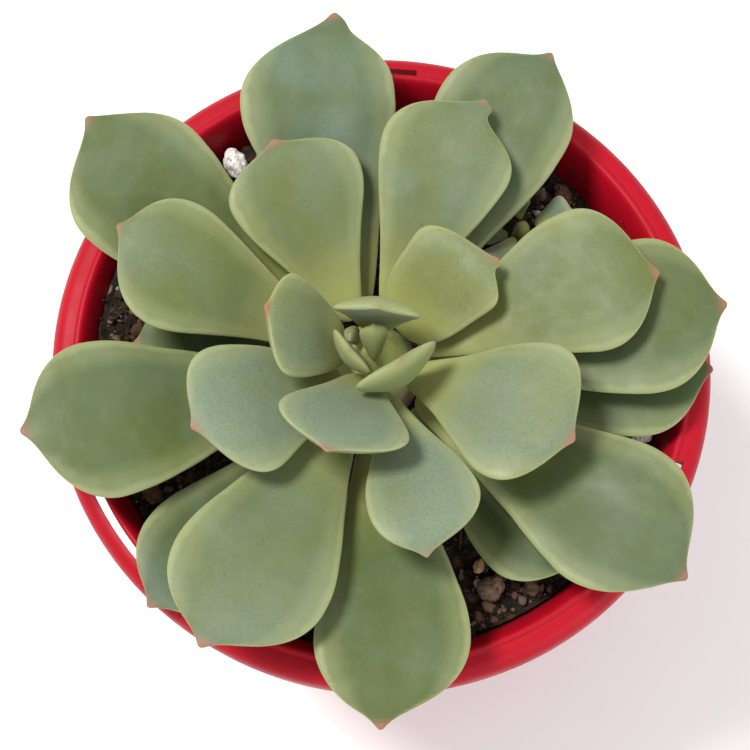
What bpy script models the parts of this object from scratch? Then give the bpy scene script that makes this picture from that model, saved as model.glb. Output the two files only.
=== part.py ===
"""Rosette succulent in a moulded plastic pot: pot, potting mix, stem, thick leaves in overlapping rings,
a young offset beside the rosette, and loose grit on the mix.

Metres, +Z up. The origin is the centre of the pad under the pot, which stands on the ground at z = 0.
"""

import math
import random
from collections import namedtuple

import bmesh
import bpy
from mathutils import Vector

COLLECTION = "potted_succulent"
FIT_GAP = 0.0003  # clearance between pieces that touch

# Pot
POT_HEIGHT = 0.098
POT_RIM_RADIUS = 0.060
POT_BASE_RADIUS = 0.042
POT_WALL = 0.0016
RIM_WIDTH = 0.0054  # from the outer edge of the rim in to its crest
RIM_DROP = 0.0035  # from the crest down to the widest edge
SKIRT_DEPTH = 0.0105  # from the crest down to the lower edge of the turned-down skirt
SKIRT_WALL = 0.0013
RIM_THICKNESS = 0.0021
RIM_CURVE = ((0.50, 0.20), (0.76, 0.42), (0.93, 0.70))  # the rolled rim: shares of its width and its drop
CREST_ROUND = 0.0008
GROOVE_OFFSET = 0.0011  # from the crest out to the shallow groove that the hanger slots lie in
GROOVE_WIDTH = 0.0007
GROOVE_DEPTH = 0.0005
EDGE_BAND = 0.0012  # the upright band at the widest edge
SKIRT_DRAFT = 0.0006
SKIRT_FILLET = 0.0010
UNDER_FILLET = 0.0012  # between the outer wall and the underside of the rim
LIP_FLARE = 0.0028  # how far the inner wall opens out towards the crest
LIP_START_DEPTH = 0.0038  # from the crest down to where the wall starts to open out more
LIP_START_SHARE = 0.35  # the share of the flare reached there
FLOOR_THICKNESS = 0.002
FOOT_HEIGHT = 0.0015
FOOT_WIDTH = 0.005
FOOT_DRAFT = 0.0006
FOOT_CHAMFER = 0.0005
FLOOR_CORNER = 0.0025  # the chamfer inside, from the floor to the wall
PAD_RADIUS = 0.012
POT_STEPS = 40

HANGER_SLOTS = 3
HANGER_SLOT_ANGLE = 212.0
HANGER_SLOT_SPAN = 17.0
HANGER_SLOT_WIDTH = 0.0013
HANGER_SLOT_STEPS = 4

DRAIN_HOLES = 6
DRAIN_HOLE_RADIUS = 0.003
DRAIN_HOLE_STEPS = 12
CUT_BEYOND = 0.002  # how far a cutter runs past the faces it cuts

# Potting mix
HEADSPACE = 0.0085  # from the crest of the rim down to the mix
SOIL_CROWN = 0.0008  # how much higher the mix is in the middle
SOIL_CROWN_HALFWAY = 0.8  # the share of that left halfway out
SOIL_EDGE_WIDTH = 0.004  # the mix falls away over this width beside the wall
SOIL_EDGE_DROP = 0.0015
WELL_EASE = 1.05  # a well is this much wider than the stem in it, besides the fit gap

# Plant
PLANT_X = -0.002
PLANT_Y = -0.001
CROWN_BELOW_RIM = 0.008  # from the crest of the rim down to the widest part of the stem
STEM_RADIUS = 0.0092
STEM_DOME = 0.0185  # from the widest part of the stem up to its growing tip
STEM_TAPER = 1.7  # 1 is a straight cone, 2 a rounder dome
ROOT_RADIUS = 0.006
ROOT_DEPTH = 0.020  # below the top of the mix
ROOT_SHOULDER = 0.3  # the share of that depth where the stem starts to narrow
ROOT_SHOULDER_WIDTH = 0.96  # the share of the stem's radius there
ROOT_ROUND = 0.002
STEM_ROWS = 7
STEM_STEPS = 24

# A leaf is a cage of stations from its base to its tip, smoothed by subdivision.
# Shares of: leaf length, half width, thickness, the tip's sideways lean. The first two widths are shares
# of the leaf's own neck width.
Station = namedtuple("Station", "along width thickness lean")
STATIONS = (
    Station(0.00, 0.44, 0.52, 0.00),
    Station(0.30, 1.00, 0.92, 0.00),
    Station(0.60, 0.93, 1.00, 0.00),
    Station(0.80, 1.07, 0.86, 0.08),
    Station(0.92, 0.70, 0.60, 0.30),
    Station(0.965, 0.24, 0.34, 0.78),
    Station(0.99, 0.09, 0.20, 0.97),
    Station(1.008, 0.03, 0.12, 1.00),
)
# The outline of a station: shares of the half width (+ is left) and of the thickness (+ is up).
SECTION = ((-1.0, 0.12), (-0.5, 0.34), (0.5, 0.34), (1.0, 0.12), (0.58, -0.42), (0.0, -0.64), (-0.58, -0.42))
CAGE_ALLOWANCE = 1.13  # a smoothed leaf is this much narrower than its cage
CUP = 0.11  # how far the margins lift, as a share of the half width
SPINE_STEP = 0.0005

# Every leaf of a ring leaves the stem at one height and follows one curve, so the rings stay apart.
# height is above the widest part of the stem; rise and end_rise are degrees above level, over span.
Ring = namedtuple("Ring", "height rise end_rise span thickness")
RINGS = {
    "ground": Ring(0.0020, 11.0, 11.0, 0.055, 0.0046),
    "outer": Ring(0.0052, 20.0, 9.5, 0.060, 0.0056),
    "middle": Ring(0.0084, 29.0, 8.0, 0.052, 0.0056),
    "upper": Ring(0.0114, 40.0, 14.0, 0.036, 0.0052),
    "inner": Ring(0.0142, 52.0, 40.0, 0.024, 0.0044),
    "bowl": Ring(0.0150, 45.0, 112.0, 0.018, 0.0044),
    "bud": Ring(0.0160, 64.0, 124.0, 0.017, 0.0038),
    "heart": Ring(0.0164, 52.0, 100.0, 0.012, 0.0030),
    "tip": Ring(0.0168, 110.0, 135.0, 0.009, 0.0024),
}

# azimuth: of the blade's middle line, degrees anticlockwise from +X. lean: how far the tip is off that
# line, + to the left. neck: the width where the leaf is drawn in near its base. notch: the share of the
# right half that is cut away beside the tip.
NECK_STATIONS = 2
NOTCH_STATION = 4
Leaf = namedtuple("Leaf", "name ring azimuth length width lean neck notch")
LEAVES = (
    Leaf("leaf_ground_1", "ground", 358, 0.0520, 0.027, 0.0, 0.0115, 0.0),
    Leaf("leaf_ground_2", "ground", 176, 0.034, 0.024, 0.0, 0.0105, 0.0),
    Leaf("leaf_ground_3", "ground", 231, 0.0505, 0.0245, -0.0015, 0.011, 0.0),
    Leaf("leaf_ground_4", "ground", 316, 0.044, 0.027, 0.0, 0.0115, 0.0),
    Leaf("leaf_outer_1", "outer", 7, 0.0555, 0.030, 0.0, 0.013, 0.0),
    Leaf("leaf_outer_2", "outer", 61.5, 0.057, 0.027, -0.002, 0.0145, 0.2),
    Leaf("leaf_outer_3", "outer", 102.5, 0.056, 0.030, -0.0065, 0.013, 0.35),
    Leaf("leaf_outer_4", "outer", 145, 0.059, 0.0295, -0.0045, 0.0125, 0.2),
    Leaf("leaf_outer_5", "outer", 196.5, 0.0555, 0.030, -0.0015, 0.013, 0.0),
    Leaf("leaf_outer_6", "outer", 274, 0.0595, 0.0275, -0.0035, 0.012, 0.0),
    Leaf("leaf_outer_7", "outer", 324, 0.060, 0.029, -0.0025, 0.0125, 0.15),
    Leaf("leaf_middle_1", "middle", 16.5, 0.046, 0.028, -0.0025, 0.012, 0.1),
    Leaf("leaf_middle_2", "middle", 69.5, 0.0435, 0.026, -0.003, 0.011, 0.7),
    Leaf("leaf_middle_3", "middle", 116, 0.036, 0.026, 0.0, 0.011, 0.0),
    Leaf("leaf_middle_4", "middle", 159, 0.044, 0.0245, -0.0025, 0.0105, 0.0),
    Leaf("leaf_middle_5", "middle", 244, 0.056, 0.029, -0.002, 0.0125, 0.0),
    Leaf("leaf_upper_1", "upper", 43, 0.0228, 0.0200, -0.0042, 0.0175, 0.45),
    Leaf("leaf_upper_2", "upper", 211, 0.033, 0.0255, -0.001, 0.0145, 0.0),
    Leaf("leaf_upper_3", "upper", 286, 0.038, 0.0202, -0.0026, 0.0066, 0.0),
    Leaf("leaf_upper_4", "upper", 331.5, 0.0365, 0.028, -0.001, 0.0108, 0.1),
    Leaf("leaf_inner_1", "inner", 176, 0.021, 0.019, -0.002, 0.013, 0.0),
    Leaf("leaf_inner_2", "inner", 253, 0.028, 0.023, -0.001, 0.0105, 0.0),
    Leaf("leaf_bowl_1", "bowl", 301, 0.0175, 0.0165, 0.0, 0.006, 0.0),
    Leaf("leaf_bud_1", "bud", 84, 0.016, 0.016, 0.0, 0.009, 0.0),
    Leaf("leaf_heart_1", "heart", 219, 0.012, 0.0105, 0.0, 0.0065, 0.0),
    Leaf("leaf_heart_2", "heart", 155, 0.0044, 0.0034, 0.0, 0.0025, 0.0),
    Leaf("leaf_tip_1", "tip", 276, 0.0085, 0.0052, 0.0, 0.0032, 0.0),
)

# Offset: a young rosette on its own stem, each leaf a golden angle on from the one below it
OFFSET_X = 0.0258
OFFSET_Y = 0.0256
OFFSET_STEM_RADIUS = 0.0016
OFFSET_STEM_RISE = 0.0075  # above the mix
OFFSET_STEM_DEPTH = 0.006  # into the mix
OFFSET_FIRST_AZIMUTH = 182.0
OFFSET_FIRST_HEIGHT = 0.002  # above the mix
OFFSET_LIFT = 0.0012  # from one leaf up to the next
OFFSET_THICKNESS = 0.0023
OFFSET_CURL = 16.0  # degrees that each leaf turns up along its length
OFFSET_NECK = 0.5  # the neck as a share of the leaf's width
OFFSET_STEM_STEPS = 12
GOLDEN_ANGLE = 137.5
OffsetLeaf = namedtuple("OffsetLeaf", "length width rise")
OFFSET_LEAVES = (
    OffsetLeaf(0.0065, 0.0055, 18.0),
    OffsetLeaf(0.0090, 0.0060, 20.0),
    OffsetLeaf(0.0050, 0.0042, 40.0),
    OffsetLeaf(0.0120, 0.0065, 18.0),
    OffsetLeaf(0.0080, 0.0070, 26.0),
)

# Loose grit: name, kind, bearing round the pot in degrees, distance of its middle in from the wall,
# turn about the vertical in degrees, three outer sizes
Grit = namedtuple("Grit", "name kind bearing inset turn sizes")
GRIT = (
    Grit("perlite_1", "perlite", 125, 0.0040, 120, (0.0070, 0.0045, 0.0040)),
    Grit("perlite_2", "perlite", 345, 0.0030, 15, (0.0040, 0.0035, 0.0030)),
    Grit("pebble_1", "tan_stone", 295, 0.0110, 70, (0.0028, 0.0022, 0.0020)),
    Grit("pebble_2", "grey_stone", 295, 0.0065, 20, (0.0054, 0.0048, 0.0032)),
    Grit("pebble_3", "grey_stone", 303, 0.0030, 130, (0.0036, 0.0030, 0.0024)),
    Grit("bark_chip_1", "bark", 165, 0.0040, 35, (0.0060, 0.0040, 0.0022)),
    Grit("bark_chip_2", "bark", 210, 0.0040, 150, (0.0052, 0.0028, 0.0018)),
    Grit("bark_chip_3", "bark", 45, 0.0035, 120, (0.0048, 0.0030, 0.0020)),
)
GRIT_ROUGHNESS = 0.13
GRIT_SUBDIVISIONS = 2

PALE_RINGS = ("bowl", "bud", "heart", "tip")  # the youngest leaves
MATERIALS = {  # base colour, roughness
    "red_plastic": ((0.42, 0.006, 0.02, 1.0), 0.3),
    "potting_mix": ((0.02, 0.013, 0.009, 1.0), 0.95),
    "stem_skin": ((0.22, 0.2, 0.1, 1.0), 0.8),
    "leaf_green": ((0.2, 0.3, 0.14, 1.0), 0.5),
    "leaf_pale": ((0.3, 0.4, 0.17, 1.0), 0.5),
    "perlite": ((0.7, 0.68, 0.64, 1.0), 0.9),
    "tan_stone": ((0.4, 0.25, 0.14, 1.0), 0.8),
    "grey_stone": ((0.16, 0.13, 0.11, 1.0), 0.8),
    "bark": ((0.07, 0.035, 0.02, 1.0), 0.9),
}

POT_CREST_RADIUS = POT_RIM_RADIUS - RIM_WIDTH
POT_FLOOR = FOOT_HEIGHT + FLOOR_THICKNESS
SOIL_LEVEL = POT_HEIGHT - HEADSPACE
INNER_BASE_RADIUS = POT_BASE_RADIUS - POT_WALL
INNER_TOP_RADIUS = POT_CREST_RADIUS - LIP_FLARE
LIP_START_RADIUS = INNER_TOP_RADIUS + LIP_START_SHARE * LIP_FLARE
CROWN_LEVEL = POT_HEIGHT - CROWN_BELOW_RIM


def clear_scene():
    for item in list(bpy.data.objects):
        bpy.data.objects.remove(item, do_unlink=True)


def make_collection(name):
    collection = bpy.data.collections.new(name)
    bpy.context.scene.collection.children.link(collection)
    return collection


def make_materials():
    for name, (colour, roughness) in MATERIALS.items():
        material = bpy.data.materials.new(name)
        material.use_nodes = True
        shader = material.node_tree.nodes["Principled BSDF"]
        shader.inputs["Base Color"].default_value = colour
        shader.inputs["Roughness"].default_value = roughness
        material.diffuse_color = colour


def add_object(name, mesh, collection, material=None, parent=None):
    item = bpy.data.objects.new(name, mesh)
    collection.objects.link(item)
    item.parent = parent
    if material:
        mesh.materials.append(bpy.data.materials[material])
    return item


def add_empty(name, collection, location):
    item = bpy.data.objects.new(name, None)
    collection.objects.link(item)
    item.location = location
    return item


def profile_mesh(name, points):
    """An open profile of (radius, height) points in the XZ plane."""
    mesh = bpy.data.meshes.new(name)
    edges = [(i, i + 1) for i in range(len(points) - 1)]
    mesh.from_pydata([(radius, 0.0, height) for radius, height in points], edges, [])
    return mesh


def add_turned(name, points, steps, collection, material=None, parent=None):
    """A solid of revolution about Z. The profile starts on the axis and runs down its outer side."""
    item = add_object(name, profile_mesh(name, points), collection, material, parent)
    screw = item.modifiers.new("turn", "SCREW")
    screw.axis = "Z"
    screw.steps = steps
    screw.render_steps = steps
    screw.use_smooth_shade = True
    screw.use_merge_vertices = True
    screw.merge_threshold = 0.00001
    return item


def add_prism(name, outline, bottom, top, collection):
    """A straight-sided solid on a closed outline of (x, y) points."""
    built = bmesh.new()
    floor = built.faces.new([built.verts.new((x, y, bottom)) for x, y in outline])
    raised = bmesh.ops.extrude_face_region(built, geom=[floor])["geom"]
    lifted = [part for part in raised if isinstance(part, bmesh.types.BMVert)]
    bmesh.ops.translate(built, verts=lifted, vec=(0.0, 0.0, top - bottom))
    bmesh.ops.recalc_face_normals(built, faces=built.faces)
    mesh = bpy.data.meshes.new(name)
    built.to_mesh(mesh)
    built.free()
    return add_object(name, mesh, collection)


def as_cutter(item):
    item.hide_render = True
    item.display_type = "WIRE"
    return item


def cut(target, cutter):
    boolean = target.modifiers.new(cutter.name, "BOOLEAN")
    boolean.operation = "DIFFERENCE"
    boolean.solver = "EXACT"
    boolean.object = cutter


def wall_radius(height):
    """The inner radius of the straight part of the pot's wall."""
    share = (height - POT_FLOOR) / (SOIL_LEVEL - POT_FLOOR)
    return INNER_BASE_RADIUS + (INNER_TOP_RADIUS - INNER_BASE_RADIUS) * share


def pot_profile():
    """From the middle of the floor up the inner wall, over the rim, down the skirt and the outer wall."""
    crest = POT_CREST_RADIUS
    edge = POT_HEIGHT - RIM_DROP
    under = POT_HEIGHT - RIM_THICKNESS
    skirt_bottom = POT_HEIGHT - SKIRT_DEPTH
    skirt_inner = POT_RIM_RADIUS - SKIRT_WALL
    foot_inner = POT_BASE_RADIUS - FOOT_WIDTH
    inner = [
        (0.0, POT_FLOOR),
        (INNER_BASE_RADIUS - FLOOR_CORNER, POT_FLOOR),
        (wall_radius(POT_FLOOR + FLOOR_CORNER), POT_FLOOR + FLOOR_CORNER),
        (INNER_TOP_RADIUS, SOIL_LEVEL),
        (LIP_START_RADIUS, POT_HEIGHT - LIP_START_DEPTH),
        (crest - CREST_ROUND, POT_HEIGHT - CREST_ROUND),
        (crest, POT_HEIGHT),
    ]
    rim = [
        (crest + GROOVE_OFFSET, POT_HEIGHT - GROOVE_DEPTH),
        (crest + GROOVE_OFFSET + GROOVE_WIDTH, POT_HEIGHT - GROOVE_DEPTH),
    ]
    rim += [(crest + out * RIM_WIDTH, POT_HEIGHT - down * RIM_DROP) for out, down in RIM_CURVE]
    rim += [
        (POT_RIM_RADIUS, edge),
        (POT_RIM_RADIUS, edge - EDGE_BAND),
        (POT_RIM_RADIUS - SKIRT_DRAFT, skirt_bottom),
        (skirt_inner - SKIRT_DRAFT, skirt_bottom),
        (skirt_inner, edge - SKIRT_FILLET),
        (skirt_inner - SKIRT_FILLET, edge),
        (LIP_START_RADIUS + POT_WALL + UNDER_FILLET, under),
    ]
    outer = [
        (LIP_START_RADIUS + POT_WALL, under - UNDER_FILLET),
        (INNER_TOP_RADIUS + POT_WALL, SOIL_LEVEL),
        (POT_BASE_RADIUS, POT_FLOOR),
        (POT_BASE_RADIUS - FOOT_DRAFT, 0.0),
        (foot_inner, 0.0),
        (foot_inner - FOOT_CHAMFER, FOOT_HEIGHT),
        (PAD_RADIUS + FOOT_CHAMFER, FOOT_HEIGHT),
        (PAD_RADIUS, 0.0),
        (0.0, 0.0),
    ]
    return inner + rim + outer


def arc_points(radius, start, end, count):
    turns = [math.radians(start + (end - start) * i / count) for i in range(count + 1)]
    return [(radius * math.cos(turn), radius * math.sin(turn)) for turn in turns]


def circle_points(radius, steps, x, y):
    """The corners of a closed circle of so many steps, about (x, y)."""
    return [(x + dx, y + dy) for dx, dy in arc_points(radius, 0.0, 360.0, steps)[:-1]]


def add_pot(parts, cutters):
    pot = add_turned("pot", pot_profile(), POT_STEPS, parts, "red_plastic")
    slot_inner = POT_CREST_RADIUS + GROOVE_OFFSET
    slot_bottom = POT_HEIGHT - RIM_THICKNESS - CUT_BEYOND
    for index in range(HANGER_SLOTS):
        middle = HANGER_SLOT_ANGLE + 360.0 / HANGER_SLOTS * index
        start = middle - HANGER_SLOT_SPAN / 2
        end = middle + HANGER_SLOT_SPAN / 2
        outline = arc_points(slot_inner + HANGER_SLOT_WIDTH, start, end, HANGER_SLOT_STEPS)
        outline += arc_points(slot_inner, end, start, HANGER_SLOT_STEPS)
        slot = add_prism(f"hanger_slot_{index + 1}", outline, slot_bottom, POT_HEIGHT + CUT_BEYOND, cutters)
        cut(pot, as_cutter(slot))
    hole_circle = (PAD_RADIUS + POT_BASE_RADIUS - FOOT_WIDTH) / 2
    for index in range(DRAIN_HOLES):
        turn = math.tau * (index + 0.5) / DRAIN_HOLES
        x, y = hole_circle * math.cos(turn), hole_circle * math.sin(turn)
        outline = circle_points(DRAIN_HOLE_RADIUS, DRAIN_HOLE_STEPS, x, y)
        hole = add_prism(f"drain_hole_{index + 1}", outline, -CUT_BEYOND, POT_FLOOR + CUT_BEYOND, cutters)
        cut(pot, as_cutter(hole))


def add_soil(parts, cutters):
    """The mix fills the pot from its floor, a fit gap inside the wall all round."""
    bottom = POT_FLOOR + FIT_GAP
    corner = FLOOR_CORNER + 2 * FIT_GAP
    edge = SOIL_LEVEL - SOIL_EDGE_DROP
    profile = [
        (0.0, SOIL_LEVEL + SOIL_CROWN),
        (INNER_TOP_RADIUS / 2, SOIL_LEVEL + SOIL_CROWN_HALFWAY * SOIL_CROWN),
        (INNER_TOP_RADIUS - SOIL_EDGE_WIDTH, SOIL_LEVEL),
        (wall_radius(edge) - FIT_GAP, edge),
        (wall_radius(bottom + corner) - FIT_GAP, bottom + corner),
        (INNER_BASE_RADIUS - corner - FIT_GAP, bottom),
        (0.0, bottom),
    ]
    soil = add_turned("soil", profile, POT_STEPS, parts, "potting_mix")
    wells = (
        ("stem_well", PLANT_X, PLANT_Y, STEM_RADIUS, ROOT_DEPTH),
        ("offset_well", OFFSET_X, OFFSET_Y, OFFSET_STEM_RADIUS, OFFSET_STEM_DEPTH),
    )
    well_top = SOIL_LEVEL + SOIL_CROWN + CUT_BEYOND
    for name, x, y, radius, depth in wells:
        outline = circle_points(WELL_EASE * radius + FIT_GAP, STEM_STEPS, x, y)
        well = add_prism(name, outline, SOIL_LEVEL - depth - FIT_GAP, well_top, cutters)
        cut(soil, as_cutter(well))


def stem_radius_at(height):
    """The stem's radius at a height above its widest part: it domes over to the growing tip."""
    share = min(max(height / STEM_DOME, 0.0), 1.0)
    return STEM_RADIUS * (1.0 - share**STEM_TAPER)


def add_stem(parts, plant):
    dome = [STEM_DOME * (1.0 - row / STEM_ROWS) for row in range(STEM_ROWS + 1)]
    profile = [(stem_radius_at(height), height) for height in dome]
    soil_top = SOIL_LEVEL - CROWN_LEVEL
    root_end = soil_top - ROOT_DEPTH
    profile += [
        (ROOT_SHOULDER_WIDTH * STEM_RADIUS, soil_top - ROOT_SHOULDER * ROOT_DEPTH),
        (ROOT_RADIUS, root_end + ROOT_ROUND),
        (ROOT_RADIUS - ROOT_ROUND, root_end),
        (0.0, root_end),
    ]
    add_turned("stem", profile, STEM_STEPS, parts, "stem_skin", plant)


def spine_at(ring, start, distance):
    """Radius, height and elevation of a leaf's middle line, at a distance along it from its base."""
    radius, height = start
    steps = max(1, round(distance / SPINE_STEP))
    for step in range(steps):
        reached = (step + 0.5) / steps * distance
        rise = math.radians(ring.rise + (ring.end_rise - ring.rise) * reached / ring.span)
        radius += math.cos(rise) * distance / steps
        height += math.sin(rise) * distance / steps
    return radius, height, math.radians(ring.rise + (ring.end_rise - ring.rise) * distance / ring.span)


def leaf_mesh(name, leaf, ring, start):
    """A leaf's cage, pointing along +X with its left side at +Y."""
    built = bmesh.new()
    loops = []
    for index, station in enumerate(STATIONS):
        radius, height, rise = spine_at(ring, start, station.along * leaf.length)
        centre = Vector((radius, station.lean * leaf.lean, height))
        up = Vector((-math.sin(rise), 0.0, math.cos(rise)))
        width = leaf.neck if index < NECK_STATIONS else leaf.width
        reach = width / 2 * CAGE_ALLOWANCE * station.width
        depth = ring.thickness * station.thickness
        loop = []
        for across, level in SECTION:
            lift = level * depth + CUP * reach * abs(across)
            kept = 1.0 - leaf.notch if index == NOTCH_STATION and across < 0.0 else 1.0
            loop.append(built.verts.new(centre + Vector((0.0, across * reach * kept, 0.0)) + up * lift))
        loops.append(loop)
    for near, far in zip(loops, loops[1:]):
        for i in range(len(SECTION)):
            j = (i + 1) % len(SECTION)
            built.faces.new((near[i], near[j], far[j], far[i]))
    built.faces.new(loops[0])
    built.faces.new(loops[-1])
    bmesh.ops.recalc_face_normals(built, faces=built.faces)
    mesh = bpy.data.meshes.new(name)
    built.to_mesh(mesh)
    built.free()
    mesh.shade_smooth()
    return mesh


def add_smoothed(name, mesh, collection, material, parent):
    item = add_object(name, mesh, collection, material, parent)
    subdivision = item.modifiers.new("smooth", "SUBSURF")
    subdivision.levels = 1
    subdivision.render_levels = 1
    return item


def place_leaf(leaf, ring, stem_radius, parts, parent, material):
    """The leaf starts a fit gap off the stem, and its tilted base needs a little more room."""
    seat = STATIONS[0].thickness * ring.thickness / 2 * math.sin(math.radians(ring.rise))
    start = (stem_radius + FIT_GAP + seat, ring.height)
    item = add_smoothed(leaf.name, leaf_mesh(leaf.name, leaf, ring, start), parts, material, parent)
    item.rotation_euler.z = math.radians(leaf.azimuth)


def add_leaves(parts, plant):
    for leaf in LEAVES:
        ring = RINGS[leaf.ring]
        material = "leaf_pale" if leaf.ring in PALE_RINGS else "leaf_green"
        place_leaf(leaf, ring, stem_radius_at(ring.height), parts, plant, material)


def add_offset(parts, young):
    radius = OFFSET_STEM_RADIUS
    shoulder = OFFSET_STEM_RISE - radius
    dome = arc_points(radius, 90.0, 0.0, 2)
    profile = [(0.0, OFFSET_STEM_RISE)] + [(out, shoulder + up) for out, up in dome[1:]]
    profile += [(radius, -OFFSET_STEM_DEPTH), (0.0, -OFFSET_STEM_DEPTH)]
    add_turned("offset_stem", profile, OFFSET_STEM_STEPS, parts, "stem_skin", young)
    for index, young_leaf in enumerate(OFFSET_LEAVES):
        height = OFFSET_FIRST_HEIGHT + OFFSET_LIFT * index
        end_rise = young_leaf.rise + OFFSET_CURL
        ring = Ring(height, young_leaf.rise, end_rise, young_leaf.length, OFFSET_THICKNESS)
        azimuth = OFFSET_FIRST_AZIMUTH + GOLDEN_ANGLE * index
        neck = OFFSET_NECK * young_leaf.width
        name = f"offset_leaf_{index + 1}"
        leaf = Leaf(name, "", azimuth, young_leaf.length, young_leaf.width, 0.0, neck, 0.0)
        place_leaf(leaf, ring, radius, parts, young, "leaf_pale")


def add_grit(grit, parts, seed):
    """An irregular lump, its lowest point a fit gap above the highest part of the mix."""
    chance = random.Random(seed)
    built = bmesh.new()
    bmesh.ops.create_icosphere(built, subdivisions=GRIT_SUBDIVISIONS, radius=1.0)
    for vertex in built.verts:
        vertex.co *= 1.0 + chance.uniform(-GRIT_ROUGHNESS, GRIT_ROUGHNESS)
    scales = []
    for axis, size in enumerate(grit.sizes):
        places = [vertex.co[axis] for vertex in built.verts]
        scales.append(size / (max(places) - min(places)))
    bmesh.ops.scale(built, vec=scales, verts=built.verts)
    lowest = min(vertex.co.z for vertex in built.verts)
    mesh = bpy.data.meshes.new(grit.name)
    built.to_mesh(mesh)
    built.free()
    mesh.shade_smooth()
    item = add_object(grit.name, mesh, parts, grit.kind)
    bearing = math.radians(grit.bearing)
    out = wall_radius(SOIL_LEVEL) - grit.inset
    height = SOIL_LEVEL + SOIL_CROWN + FIT_GAP - lowest
    item.location = (out * math.cos(bearing), out * math.sin(bearing), height)
    item.rotation_euler.z = math.radians(grit.turn)


def build():
    clear_scene()
    parts = make_collection(COLLECTION)
    cutters = make_collection("cutters")
    make_materials()
    add_pot(parts, cutters)
    add_soil(parts, cutters)
    plant = add_empty("plant", parts, (PLANT_X, PLANT_Y, CROWN_LEVEL))
    add_stem(parts, plant)
    add_leaves(parts, plant)
    young = add_empty("offset", parts, (OFFSET_X, OFFSET_Y, SOIL_LEVEL + SOIL_CROWN))
    add_offset(parts, young)
    for index, grit in enumerate(GRIT):
        add_grit(grit, parts, index + 1)


build()
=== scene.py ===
"""Looks of the potted succulent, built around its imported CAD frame: glossy red pot, potting mix, fleshy
bloom-covered leaves, a young offset and grit, on a pale floor in soft light from the left. Metres."""

import math
import random
from collections import namedtuple

import bmesh
import bpy
import numpy as np
from mathutils import Matrix, Vector, noise


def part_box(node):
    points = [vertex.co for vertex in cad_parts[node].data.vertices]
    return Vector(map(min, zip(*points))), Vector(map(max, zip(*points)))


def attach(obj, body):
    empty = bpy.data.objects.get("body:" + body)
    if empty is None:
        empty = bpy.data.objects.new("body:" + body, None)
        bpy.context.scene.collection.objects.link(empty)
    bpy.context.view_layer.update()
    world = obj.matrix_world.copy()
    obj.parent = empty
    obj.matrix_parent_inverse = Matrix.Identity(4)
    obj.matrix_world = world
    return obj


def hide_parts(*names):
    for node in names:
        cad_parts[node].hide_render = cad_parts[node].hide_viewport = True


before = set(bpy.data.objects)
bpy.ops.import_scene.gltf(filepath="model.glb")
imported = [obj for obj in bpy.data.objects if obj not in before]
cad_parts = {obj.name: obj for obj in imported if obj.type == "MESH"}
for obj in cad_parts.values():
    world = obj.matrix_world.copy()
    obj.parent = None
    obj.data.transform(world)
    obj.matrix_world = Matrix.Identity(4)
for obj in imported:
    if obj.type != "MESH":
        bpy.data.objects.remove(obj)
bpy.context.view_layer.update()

# Camera: tilt is from straight down, turn is round the vertical
RIM_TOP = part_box("pot")[1].z
RIM_EDGE_BELOW_TOP = 0.0035
CAMERA_TILT = math.radians(16.2)
CAMERA_TURN = math.radians(-4.9)
CAMERA_DISTANCE = 0.36
CAMERA_LENS = 94.9
CAMERA_SENSOR = 36.0
CAMERA_CLIP = 0.01
AIM_RIGHT = -0.0014
AIM_UP = -0.0023

# Studio: place, width and power of each soft lamp
WORLD_STRENGTH = 0.72
FLOOR_REACH = 4.0
Lamp = namedtuple("Lamp", "name place size power colour")
LAMPS = (
    Lamp("key", (-0.46, 0.16, 1.12), 0.32, 14.5, (1.0, 0.98, 0.95)),
    Lamp("fill", (0.85, -0.6, 0.75), 1.0, 6.0, (0.96, 0.98, 1.0)),
)

# Leaves: the CAD part's own stations, rings and leaves
LEAF_LEVELS = 4
Station = namedtuple("Station", "along width thickness lean")
STATIONS = (
    Station(0.00, 0.44, 0.52, 0.00),
    Station(0.30, 1.00, 0.92, 0.00),
    Station(0.60, 0.93, 1.00, 0.00),
    Station(0.80, 1.07, 0.86, 0.08),
    Station(0.92, 0.70, 0.60, 0.30),
    Station(0.965, 0.24, 0.34, 0.78),
    Station(0.99, 0.09, 0.20, 0.97),
    Station(1.008, 0.03, 0.12, 1.00),
)
SECTION = ((-1.0, 0.12), (-0.5, 0.34), (0.5, 0.34), (1.0, 0.12), (0.58, -0.42), (0.0, -0.64), (-0.58, -0.42))
CAGE_ALLOWANCE = 1.13
CUP = 0.11
SPINE_STEP = 0.0005
MARGIN_BINS = 30  # slices along a leaf in which its margin is found
TIP_REACH = 0.0009  # how far the pink runs back from the tip of a leaf of full width
TIP_BLUSH = 0.8
YOUNG_TIP_BLUSH = 0.2
NECK_STATIONS = 2
NOTCH_STATION = 4
FIT_GAP = 0.0003
Ring = namedtuple("Ring", "height rise end_rise span thickness")
RINGS = {
    "ground": Ring(0.0020, 11.0, 11.0, 0.055, 0.0046),
    "outer": Ring(0.0052, 20.0, 9.5, 0.060, 0.0056),
    "middle": Ring(0.0084, 29.0, 8.0, 0.052, 0.0056),
    "upper": Ring(0.0114, 40.0, 14.0, 0.036, 0.0052),
    "inner": Ring(0.0142, 52.0, 40.0, 0.024, 0.0044),
    "bowl": Ring(0.0150, 45.0, 112.0, 0.018, 0.0044),
    "bud": Ring(0.0160, 64.0, 124.0, 0.017, 0.0038),
    "heart": Ring(0.0164, 52.0, 100.0, 0.012, 0.0030),
    "tip": Ring(0.0168, 110.0, 135.0, 0.009, 0.0024),
}
Leaf = namedtuple("Leaf", "name ring azimuth length width lean neck notch")
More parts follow.
